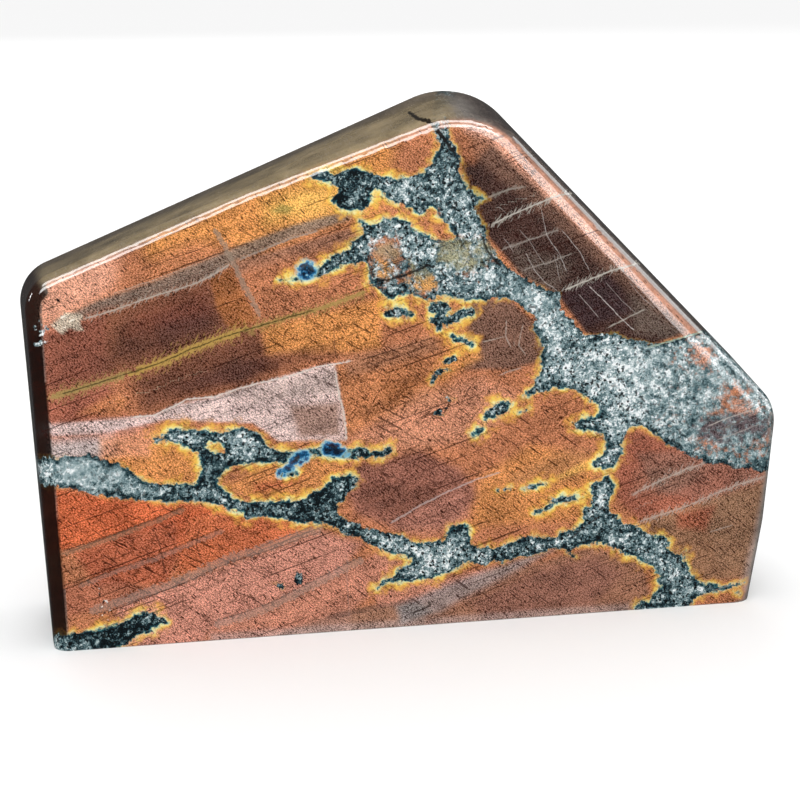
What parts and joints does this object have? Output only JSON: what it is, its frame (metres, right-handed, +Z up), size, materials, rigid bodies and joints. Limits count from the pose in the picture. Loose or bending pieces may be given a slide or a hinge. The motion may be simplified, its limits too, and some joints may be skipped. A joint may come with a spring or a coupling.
{
  "type": "polished labradorite freeform",
  "caption": "Slab of labradorite standing on a sawn foot, with a broad flat polished face, rolled edges and an off-centre peak; a display stone.",
  "frame": {"origin": "middle of the stone's box, on the plane of the sawn foot that it stands on", "axes": "+X to the right along the broad front face, +Y from the front face to the back, +Z up from the foot"},
  "size_m": [0.15, 0.031, 0.1033],
  "materials": {
    "labradorite": "polished"
  },
  "bodies": {
    "root": {"labradorite_stone": "labradorite"}
  },
  "joints": []
}
